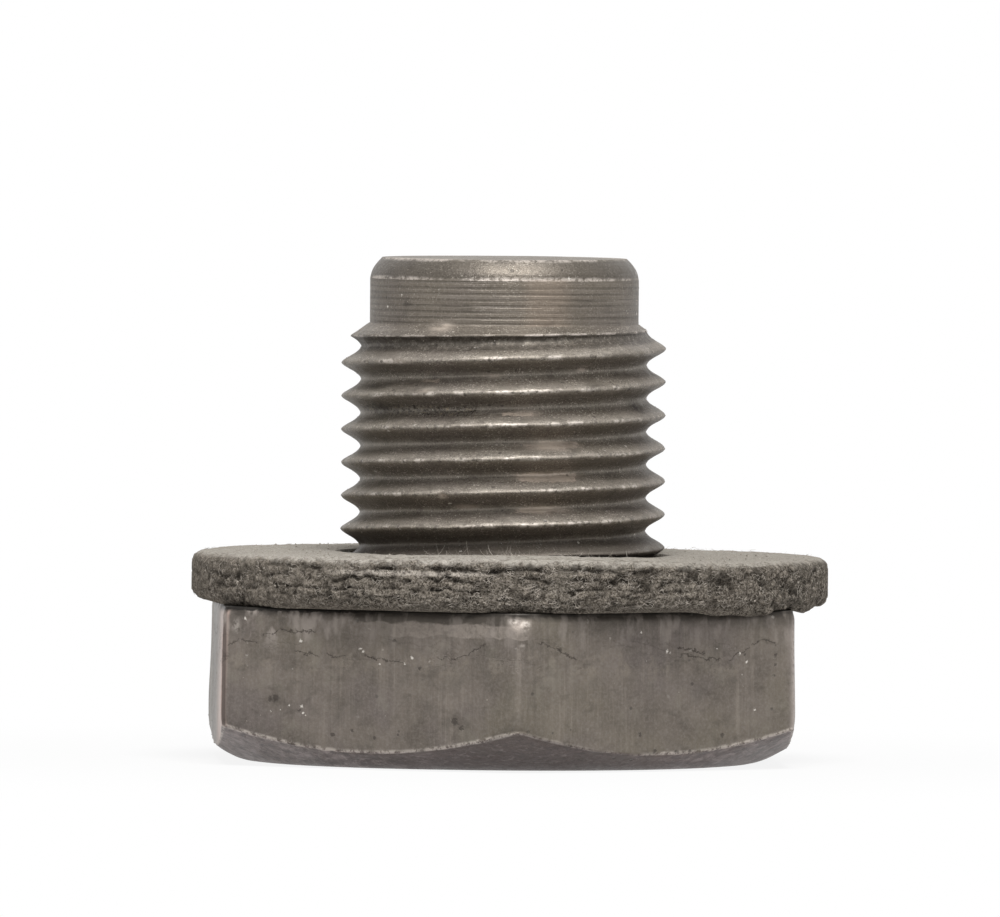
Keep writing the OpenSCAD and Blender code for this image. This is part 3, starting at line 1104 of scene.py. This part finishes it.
def steel_material():
    """Dull brown-grey steel with streaks, scuffs, cracks and grime, with painted highlights and painted
    shade.
    """
    material, shader = new_material("worn_steel")
    n = Nodes(material)
    turned, chamfered, pilot, tipped, edge, arris = [n.attribute(name) for name in (
        "turned", "chamfered", "pilot", "tipped", "edge", "arris")]
    crest, under, root, rising, rubbed, stain = [n.attribute(name) for name in (
        "crest", "under", "root", "rising", "rubbed", "stain")]
    flat = n.minus(1.0, n.most(turned, chamfered))
    x, y, height = n.axes()

    # The burr on the chamfer's edge is bright at both ends and faint right of the front corner
    keen = n.times(n.ramp(x, -8.8, -9.8, 0.84, 1.0), n.ramp(x, -0.6, 0.2, 1.0, 0.65))
    keen = n.most(keen, n.ramp(x, 4.3, 5.3, 0.0, 1.0))
    edge = n.times(edge, n.most(keen, turned))

    # Mottled base, with a fine grain
    tint = n.noise(0.45, detail=6.0, rough=0.62)
    grain = n.noise(9.0, rough=0.7)
    base = n.mix(n.ramp(tint, 0.32, 0.68), STEEL_DARK, STEEL_LIGHT)
    hue = n.noise(0.28)
    dirt = n.noise((7.0, 7.0, 9.0), detail=4.0, rough=0.8)
    base = n.coats(base, [
        ((0.15, 0.129, 0.096), 0.5, hue, 0.5, 0.68),
        ((0.132, 0.11, 0.106), 0.5, hue, 0.5, 0.34),
        ((0.27, 0.245, 0.22), 0.35, grain, 0.35, 0.8),
        (GRIME_AND_SHADE, 0.45, dirt, 0.52, 0.66, turned),
        ((0.33, 0.3, 0.26), 0.55, dirt, 0.43, 0.33, turned),
    ])
    base = n.lay(base, (0.15, 0.128, 0.094), 0.35, turned)

    # Vertical streaks on the flats and turning marks on the shank
    front = n.ramp(y, 0.0, -1.0)
    streaks = n.noise((5.0, 5.0, 0.16), detail=5.0, rough=0.7)
    calm = n.times(flat, n.ramp(x, 0.5, 2.5, 1.0, 0.7))
    patch = n.ramp(n.noise((0.5, 0.5, 0.3), detail=2.0), 0.35, 0.65)
    blotch = n.noise((0.9, 0.9, 0.7), detail=5.0, rough=0.6)
    base = n.coats(base, [
        ((0.3, 0.26, 0.22), 0.45, streaks, 0.48, 0.75, patch, flat),
        ((0.095, 0.085, 0.07), 0.35, blotch, 0.52, 0.68, calm),
        ((0.21, 0.19, 0.155), 0.35, blotch, 0.45, 0.32, calm),
        ((0.075, 0.064, 0.055), 0.35, streaks, 0.5, 0.25, calm),
    ])
    wander = n.noise((0.6, 0.6, 2.5), detail=2.0)
    phase = n.plus(n.times(height, 2 * math.pi / MARK_PITCH), n.times(0.6, wander))
    groove = n.times(n.ramp(n.math("SINE", n.plus(phase, -2.0)), 0.6, -1.0), pilot)
    groove = n.times(groove, n.ramp(n.noise((0.35, 0.35, 4.0), detail=2.0), 0.35, 0.6, 0.35, 1.0))
    base = n.lay(base, GRIME_AND_SHADE, 0.38, groove)
    rings = n.noise((0.3, 0.3, 11.0), detail=4.0, rough=0.6)
    base = n.lay(base, (0.27, 0.24, 0.21), 0.35, n.ramp(rings, 0.45, 0.75), turned)

    # Thread: painted shade on the undersides, a paler root, and bright worn crests with a painted highlight
    # on the rising flanks below them
    base = n.lay(base, SOOT_AND_SHADE, 0.1, under)
    base = n.lay(base, (0.25, 0.225, 0.19), root, n.ramp(tint, 0.4, 0.6, 0.3, 0.65))
    rub = n.noise(1.6, detail=4.0)
    # Painted light: the rising flanks' painted highlight and the crests' worn chips are strongest at the
    # front and fade towards the sides
    facing = n.times(n.ramp(y, -2.0, -4.5, 0.45, 1.0), n.ramp(y, 4.0, 2.0, 0.8, 1.0))
    rising = n.times(rising, facing)
    base = n.lay(base, (0.34, 0.305, 0.26), rising, n.ramp(rub, 0.35, 0.65, 0.3, 0.7))
    fine = n.noise(5.0, detail=4.0, rough=0.7)
    powder = n.noise((15.0, 15.0, 17.0), detail=2.0, rough=0.6)
    patchy = n.ramp(n.noise((0.9, 0.9, 1.5)), 0.4, 0.6, 0.35, 1.0)
    gritty = n.times(turned, n.minus(1.0, n.times(0.65, pilot)))
    pale = n.times(n.ramp(powder, 0.58, 0.68), gritty, patchy)
    base = n.lay(base, (0.52, 0.475, 0.41), 0.85, pale)
    black = n.times(0.75, n.ramp(powder, 0.41, 0.31), gritty)
    base = n.lay(base, SOOT_AND_SHADE, black)
    ragged = n.times(0.8, n.minus(n.noise((4.0, 4.0, 6.0), detail=4.0, rough=0.7), 0.5))
    scuffs = n.most(*[n.patch(x, height, wide, tall, ragged) for wide, tall in SCUFFS])
    scuffs = n.times(scuffs, front, n.ramp(dirt, 0.36, 0.54, 0.25, 0.9))
    base = n.lay(base, (0.47, 0.39, 0.32), scuffs, turned)
    grit = n.times(n.patch(x, height, (-5.5, -1.3), (13.3, 13.75), ragged), front)
    grit = n.times(grit, turned)
    base = n.lay(base, (0.02, 0.016, 0.012), grit, n.ramp(dirt, 0.5, 0.6, 0.1, 0.9))
    base = n.lay(base, (0.3, 0.24, 0.16), grit, n.ramp(dirt, 0.44, 0.36, 0.0, 0.7))
    # Painted shade on the tip's chamfer, darker away from its middle and towards the back
    middle = n.math("ABSOLUTE", n.minus(x, 0.25))
    base = n.lay(base, (0.055, 0.047, 0.039), tipped,
                 n.most(n.ramp(middle, 0.4, 2.4, 0.05, 0.55), n.ramp(front, 1.0, 0.0, 0.0, 0.4)))
    base = n.lay(base, (0.028, 0.022, 0.017), stain, n.ramp(fine, 0.36, 0.56, 0.35, 0.9))

    base = chamfer_coats(n, base, x, chamfered)

    # Bright burrs, worn crests and rubbed spots, and the hexagon's corners painted bright for wear and as a
    # painted highlight
    chips = n.ramp(n.noise(1.2, detail=4.0, rough=0.65), 0.46, 0.62, 0.05, 0.85)
    scuff = n.ramp(n.noise((1.4, 1.4, 7.0), detail=4.0, rough=0.65), 0.36, 0.52, 0.3, 1.0)
    base = n.lay(base, (0.47, 0.4, 0.335), rubbed, turned, scuff)
    base = n.lay(base, (0.07, 0.06, 0.05), crest, n.ramp(fine, 0.48, 0.37, 0.0, 0.7))
    burr = n.most(n.times(crest, facing, chips), edge)
    burr = n.most(burr, n.times(rubbed, flat), arris)
    wear = n.times(n.ramp(fine, 0.38, 0.56), n.ramp(burr, 0.2, 0.9))
    shiny = n.mix(edge, (0.6, 0.545, 0.49), (0.55, 0.49, 0.44))
    base = n.lay(base, shiny, 0.75, wear)
    # The corners' arris: worn bright, with a painted highlight
    base = n.lay(base, (0.6, 0.53, 0.5), 0.6, arris)

    # The left side face carries a painted highlight, brighter towards its front corner, with a dark line
    # past the corner
    polished = n.times(flat, n.ramp(x, -10.55, -10.75), n.ramp(y, -6.32, -6.2))
    left_face_highlight = n.times(polished, n.ramp(y, 1.5, -4.5))
    base = n.lay(base, (0.56, 0.42, 0.365), left_face_highlight, n.ramp(streaks, 0.3, 0.6, 0.4, 0.8))
    beside = n.minus(n.times(0.866, x), n.times(0.5, y))
    lee = n.between(beside, -6.45, -6.38, -6.18, -6.28)
    lee = n.times(lee, flat, n.ramp(y, 0.0, -1.0))
    base = n.lay(base, (0.05, 0.04, 0.036), 0.8, lee)

    # A painted warm highlight on the pilot, and painted shade over the gasket's bore
    warm_highlight = n.between(x, 0.2, 1.0, 2.6, 1.8)
    warm_highlight = n.times(warm_highlight, pilot, n.ramp(y, 0.0, -2.0))
    base = n.lay(base, (0.25, 0.195, 0.15), 0.4, warm_highlight)
    shade = n.times(n.ramp(height, 9.1, 8.5), turned)
    base = n.lay(base, (0.045, 0.036, 0.029), 0.6, shade)

    # Grime in patches, and painted shade on the flats under the gasket
    soil = n.ramp(n.noise((1.1, 1.1, 1.8), detail=5.0, rough=0.65), 0.5, 0.72)
    base = n.lay(base, (0.055, 0.047, 0.038), 0.4, soil)
    waving = n.plus(height, n.times(0.5, n.noise((1.3, 1.3, 3.0), detail=4.0)))
    # Painted shade under the gasket along the top of the flats, deeper on the right and left of the front
    # corner
    seat = n.times(n.ramp(waving, HEAD_Z - 0.12, HEAD_Z + 0.18), flat)
    base = n.lay(base, (0.03, 0.025, 0.02), 0.8, seat)
    seat = n.times(n.ramp(waving, HEAD_Z - 0.6, HEAD_Z + 0.2), flat, n.ramp(x, 1.5, 4.0))
    shaded = n.times(n.ramp(waving, HEAD_Z - 0.26, HEAD_Z - 0.12), flat, front)
    shaded = n.times(shaded, n.between(x, -7.5, -5.5, -0.2, -0.7))
    base = n.lay(base, GRIME_AND_SHADE, 0.75, n.most(seat, shaded))

    # A rubbed band under the gasket, left of the front corner
    across = n.plus(x, n.times(0.6, streaks))
    band = n.between(waving, 5.33, 5.38, 5.92, 5.82)
    band = n.times(band, n.between(across, -5.6, -3.6, 0.9, 0.6))
    band = n.times(band, flat, front)
    band = n.times(band, n.ramp(fine, 0.35, 0.6, 0.25, 1.0))
    base = n.lay(base, (0.33, 0.287, 0.25), 0.5, band)

    # Pale smears high on the flats, with crusts and fine cracks below them
    smear = n.times(n.ramp(height, 4.3, 5.2), n.ramp(n.noise((1.8, 1.8, 0.8), detail=5.0), 0.5, 0.66))
    smear = n.times(smear, n.ramp(x, -5.0, -8.5, 0.35, 0.75))
    base = n.lay(base, (0.32, 0.28, 0.25), smear, flat)
    crack = crack_mask(n, x, y, height, flat)
    crust = n.between(height, 3.2, 3.9, 4.9, 4.3)
    crust = n.times(crust, n.ramp(n.noise(1.4), 0.5, 0.62))
    crust = n.times(crust, flat, n.ramp(fine, 0.42, 0.56))
    base = n.lay(base, (0.25, 0.215, 0.175), 0.35, crust)
    base = n.lay(base, (0.032, 0.023, 0.018), 0.68, crack)

    # Pale specks and small pits
    gap, tone = n.spots(2.2)
    pick = n.add("ShaderNodeSeparateColor", {"Color": tone}).outputs
    uneven = n.math("MULTIPLY_ADD", dirt, 0.9, third=gap)
    speck = n.times(n.ramp(uneven, 0.58, 0.5), n.ramp(pick["Red"], 0.84, 0.88))
    higher = n.ramp(height, 2.5, 4.5, 0.1, n.ramp(front, 0.0, 1.0, 0.8, 0.3))
    speck = n.times(speck, n.most(turned, higher))
    uneven = n.minus(dirt, 0.5)
    in_front = n.times(flat, front)
    speck = n.most(speck, n.times(n.dots(SPECKS, uneven), in_front))
    base = n.lay(base, (0.7, 0.66, 0.6), 0.75, speck)
    pit = n.times(n.ramp(gap, 0.2, 0.1), n.ramp(pick["Green"], 0.9, 0.93))
    base = n.lay(base, (0.04, 0.034, 0.03), 0.6, pit)
    hollow = n.times(n.dots(PITS, uneven), in_front)
    pit = n.most(pit, hollow)
    base = n.lay(base, (0.03, 0.024, 0.02), 0.6, hollow)
    # Painted shadow: a black line along the flats' top edge, in the gap under the gasket
    seam_shadow = n.times(n.ramp(n.plus(height, n.times(0.35, ragged)), HEAD_Z - 0.15, HEAD_Z - 0.08),
                   in_front, n.ramp(x, -4.0, -7.0, 0.5, 0.95))
    base = n.lay(base, (0.012, 0.01, 0.008), seam_shadow)

    # Sheen and fine relief
    n.put(shader.inputs["Base Color"], base)
    shader.inputs["Metallic"].default_value = 0.6
    rough = n.plus(n.times(0.5, fine), n.times(0.5, tint))
    smooth = n.plus(n.times(0.06, tipped), n.times(0.07, polished))
    n.put(shader.inputs["Roughness"], n.minus(n.ramp(rough, 0.3, 0.7, 0.4, 0.6), smooth))
    lines = n.add("ShaderNodeMix", {"Factor": turned, "A": streaks, "B": rings},
                  data_type="FLOAT").outputs["Result"]
    plain = n.most(polished, n.times(0.8, chamfered))
    normal = n.bump(lines, n.ramp(plain, 0.0, 1.0, 0.4, 0.1), 0.03)
    normal = n.bump(n.minus(1.0, n.most(groove, crack)), 0.65, 0.03, normal)
    rough = n.minus(n.plus(fine, n.times(dirt, turned)), n.times(0.8, pit))
    rough = n.plus(rough, n.times(0.7, pale))
    normal = n.bump(rough, 0.45, 0.035, normal)
    n.put(shader.inputs["Normal"], normal)
    return material


def pale_layer(n, x, y, z):
    """A paler torn layer high on the left of the gasket's front."""
    wavy = n.math("MULTIPLY_ADD", n.noise(1.6, detail=4.0, rough=0.7), 0.36, third=z)
    layer = n.between(wavy, 7.58, 7.66, 7.84, 7.76)
    layer = n.times(layer, n.ramp(n.noise(8.0, rough=0.7, swirl=1.2), 0.36, 0.54, 0.1, 1.0))
    across = n.between(x, -7.5, -6.0, -0.5, -2.0)
    return n.times(layer, across, n.ramp(y, -8.0, -9.5))


def fibre_material():
    """Pressed fibre: dark and granular at the rim, paler and dusty on top."""
    material, shader = new_material("pressed_fibre")
    n = Nodes(material)
    pit = n.attribute("pit")
    top = n.attribute("top")
    grain = n.noise(12.0, detail=4.0, rough=0.8)
    clump = n.noise((3.6, 3.6, 4.6), detail=4.0, rough=0.65)
    fuzz = n.noise((4.5, 4.5, 5.5), detail=5.0, rough=0.65, swirl=2.5)
    patch = n.noise(0.6)
    rim = n.mix(n.ramp(grain, 0.42, 0.58), (0.055, 0.045, 0.035), (0.285, 0.25, 0.207))
    tufts = n.noise(8.0, rough=0.7, swirl=1.2)
    x, y, z = n.axes()
    rim = n.coats(rim, [
        ((0.028, 0.022, 0.017), 0.75, tufts, 0.47, 0.36),
        ((0.44, 0.39, 0.335), 0.75, tufts, 0.54, 0.64),
        ((0.34, 0.3, 0.25), 0.6, fuzz, 0.54, 0.66),
        ((0.035, 0.028, 0.022), 0.6, fuzz, 0.44, 0.33),
        ((0.03, 0.024, 0.018), 0.5, clump, 0.44, 0.32),
        ((0.17, 0.155, 0.128), 0.3, patch, 0.45, 0.7),
        ((0.26, 0.225, 0.185), 0.25, x, -5.0, -9.5),
    ])
    rim = n.lay(rim, (0.56, 0.505, 0.44), 0.85, pale_layer(n, x, y, z))
    # Painted shade in the rim's pits and splits, darker the deeper they are
    rim = n.lay(rim, (0.016, 0.013, 0.01), n.math("MULTIPLY", pit, 0.8, clamp=True))
    dust = n.mix(n.ramp(grain, 0.35, 0.65), (0.29, 0.265, 0.227), (0.47, 0.437, 0.388))
    dust = n.coats(dust, [
        ((0.12, 0.108, 0.09), 0.35, clump, 0.5, 0.3),
        ((0.48, 0.445, 0.395), 0.3, fuzz, 0.56, 0.68),
        ((0.56, 0.52, 0.465), 0.2, y, -3.0, -9.0),
        ((0.13, 0.114, 0.093), 0.6, tufts, 0.48, 0.36),
        ((0.58, 0.53, 0.47), 0.4, tufts, 0.54, 0.64),
        ((0.25, 0.23, 0.195), 0.3, x, 2.5, 6.0),
    ])
    n.put(shader.inputs["Base Color"], n.mix(top, rim, dust))
    shader.inputs["Roughness"].default_value = 0.95
    shader.inputs["Specular IOR Level"].default_value = 0.15
    n.put(shader.inputs["Normal"], n.bump(fuzz, 0.7, 0.09, n.bump(grain, 0.8, 0.07)))
    return material


def fluff_material():
    """Pale loose fibre and dust."""
    material, shader = new_material("loose_fibre")
    n = Nodes(material)
    tone = n.noise(2.2)
    color = n.mix(n.ramp(tone, 0.38, 0.62), (0.105, 0.09, 0.072), (0.5, 0.45, 0.39))
    x, y, z = n.axes()
    on_top = n.between(z, 7.86, 7.97, 8.6, 8.5)
    dusty = n.mix(n.ramp(tone, 0.4, 0.6), (0.27, 0.245, 0.21), (0.48, 0.44, 0.385))
    color = n.lay(color, (0.58, 0.525, 0.46), 0.9, pale_layer(n, x, y, z))
    n.put(shader.inputs["Base Color"], n.mix(on_top, color, dusty))
    shader.inputs["Roughness"].default_value = 0.9
    shader.inputs["Specular IOR Level"].default_value = 0.2
    return material


def seen_directly(nodes, links):
    """1 for rays from the camera, in a reflection or through glass, and 0 for light on the object."""
    path = nodes.new("ShaderNodeLightPath")
    total = path.outputs["Is Camera Ray"]
    for kind in ("Is Glossy Ray", "Is Transmission Ray"):
        either = nodes.new("ShaderNodeMath")
        either.operation = "MAXIMUM"
        links.new(total, either.inputs[0])
        links.new(path.outputs[kind], either.inputs[1])
        total = either.outputs[0]
    return total


def floor_material():
    """Pale floor that looks white and keeps a faint shadow round the object."""
    material, shader = new_material("pale_floor")
    shader.inputs["Base Color"].default_value = (0.6, 0.6, 0.6, 1)
    shader.inputs["Roughness"].default_value = 0.9
    shader.inputs["Specular IOR Level"].default_value = 0.0
    n = Nodes(material)
    glow = n.add("ShaderNodeEmission", {"Color": (1, 1, 1, 1), "Strength": 1.0}).outputs["Emission"]
    away = n.add("ShaderNodeVectorMath", {0: n.scaled(1, 1, 1)}, operation="LENGTH").outputs["Value"]
    white = n.ramp(away, 12.0, 42.0, 0.88, 1.0)
    share = n.math("MULTIPLY", white, seen_directly(n.tree.nodes, n.tree.links))
    both = n.add("ShaderNodeMixShader", {0: share, 1: shader.outputs["BSDF"], 2: glow}).outputs["Shader"]
    output = next(node for node in n.tree.nodes if node.type == "OUTPUT_MATERIAL")
    n.put(output.inputs["Surface"], both)
    return material


# Operators


class DRAINPLUG_OT_plug(bpy.types.Operator):
    """Makes the one-piece steel plug"""

    bl_idname = "drainplug.plug"
    bl_label = "Steel Plug"

    def execute(self, context):
        sizes = context.scene.plug_sizes
        piece = spun("steel_plug", plug_stretches(sizes), sizes.columns, False)
        shape_plug(piece, sizes)
        finish_piece(piece, steel_material())
        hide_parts("plug")
        return {"FINISHED"}


class DRAINPLUG_OT_gasket(bpy.types.Operator):
    """Makes the crumbling fibre gasket"""

    bl_idname = "drainplug.gasket"
    bl_label = "Fibre Gasket"

    def execute(self, context):
        sizes = context.scene.gasket_sizes
        piece = spun("fibre_gasket", gasket_stretches(sizes), sizes.columns, True)
        shape_gasket(piece, sizes)
        finish_piece(piece, fibre_material())
        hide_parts("gasket")
        return {"FINISHED"}


class DRAINPLUG_OT_fibres(bpy.types.Operator):
    """Scatters loose fibres and crumbs over the gasket and the steel"""

    bl_idname = "drainplug.fibres"
    bl_label = "Loose Fibres"

    def execute(self, context):
        piece = loose_bits(context.scene.gasket_sizes, bpy.data.objects["steel_plug"])
        finish_piece(piece, fluff_material())
        return {"FINISHED"}


def add_camera(look):
    """A camera just left of the front corner and a little above the floor."""
    data = bpy.data.cameras.new("camera")
    camera = bpy.data.objects.new("camera", data)
    bpy.context.scene.collection.objects.link(camera)
    azimuth = math.radians(FRONT)
    back = direction(azimuth, look.elevation)
    right = np.array([-math.sin(azimuth), math.cos(azimuth), 0])
    aim = np.array([0, 0, look.aim_z]) * MM - right * look.aim_x * MM
    camera.location = aim + back * look.distance
    camera.rotation_mode = "QUATERNION"
    facing = Vector(-back).to_track_quat("-Z", "Y")
    camera.rotation_quaternion = facing @ Quaternion((0, 0, 1), look.roll)
    data.sensor_width = 36
    data.lens = data.sensor_width * look.distance / (look.scale * MM)
    data.clip_start = 0.05
    data.clip_end = 10
    bpy.context.scene.camera = camera


def add_lamp(name, place, size, power):
    """A square lamp that faces the plug."""
    data = bpy.data.lights.new(name, "AREA")
    data.shape = "SQUARE"
    data.size = size
    data.energy = power
    lamp = bpy.data.objects.new(name, data)
    lamp.location = place
    lamp.rotation_mode = "QUATERNION"
    lamp.rotation_quaternion = (Vector((0, 0, 0.01)) - Vector(place)).to_track_quat("-Z", "Y")
    bpy.context.scene.collection.objects.link(lamp)


def white_world():
    """White behind the object, and a dimmer even light on it."""
    world = bpy.data.worlds.new("studio")
    bpy.context.scene.world = world
    world.use_nodes = True
    nodes, links = world.node_tree.nodes, world.node_tree.links
    nodes.clear()
    strength = nodes.new("ShaderNodeMapRange")
    links.new(seen_directly(nodes, links), strength.inputs["Value"])
    strength.inputs["To Min"].default_value = 0.45
    strength.inputs["To Max"].default_value = 1.0
    shader = nodes.new("ShaderNodeBackground")
    shader.inputs["Color"].default_value = (1, 1, 1, 1)
    links.new(strength.outputs["Result"], shader.inputs["Strength"])
    output = nodes.new("ShaderNodeOutputWorld")
    links.new(shader.outputs["Background"], output.inputs["Surface"])


class DRAINPLUG_OT_stage(bpy.types.Operator):
    """Makes the floor, the key lamp, the world light and the camera"""

    bl_idname = "drainplug.stage"
    bl_label = "Stage"

    def execute(self, context):
        look = context.scene.stage_look
        bpy.ops.object.select_all(action="DESELECT")
        bpy.ops.mesh.primitive_plane_add(size=0.8, location=(0, 0, 0))
        floor = context.object
        floor.name = "floor"
        floor.data.materials.append(floor_material())
        add_camera(look)
        add_lamp("key_lamp", (0.02, -0.27, 0.43), 0.24, 3.2)
        white_world()
        context.scene.view_settings.view_transform = "Standard"
        return {"FINISHED"}


class DRAINPLUG_PT_panel(bpy.types.Panel):
    """Lists the pieces and the sizes that can be changed"""

    bl_idname = "DRAINPLUG_PT_panel"
    bl_label = "Drain Plug"
    bl_space_type = "VIEW_3D"
    bl_region_type = "UI"
    bl_category = "Drain Plug"

    def draw(self, context):
        for group, operator in (("plug_sizes", "drainplug.plug"), ("gasket_sizes", "drainplug.gasket"),
                                ("gasket_sizes", "drainplug.fibres"), ("stage_look", "drainplug.stage")):
            box = self.layout.box()
            settings = getattr(context.scene, group)
            for name in settings.__annotations__:
                box.prop(settings, name)
            box.operator(operator)


CLASSES = (PlugSizes, GasketSizes, StageLook, DRAINPLUG_OT_plug, DRAINPLUG_OT_gasket,
           DRAINPLUG_OT_fibres, DRAINPLUG_OT_stage, DRAINPLUG_PT_panel)


def register():
    for cls in CLASSES:
        bpy.utils.register_class(cls)
    bpy.types.Scene.plug_sizes = bpy.props.PointerProperty(type=PlugSizes)
    bpy.types.Scene.gasket_sizes = bpy.props.PointerProperty(type=GasketSizes)
    bpy.types.Scene.stage_look = bpy.props.PointerProperty(type=StageLook)


def unregister():
    del bpy.types.Scene.stage_look
    del bpy.types.Scene.gasket_sizes
    del bpy.types.Scene.plug_sizes
    for cls in reversed(CLASSES):
        bpy.utils.unregister_class(cls)


def main():
    register()
    bpy.ops.drainplug.plug()
    bpy.ops.drainplug.gasket()
    bpy.ops.drainplug.fibres()
    bpy.ops.drainplug.stage()


if __name__ == "__main__":
    main()
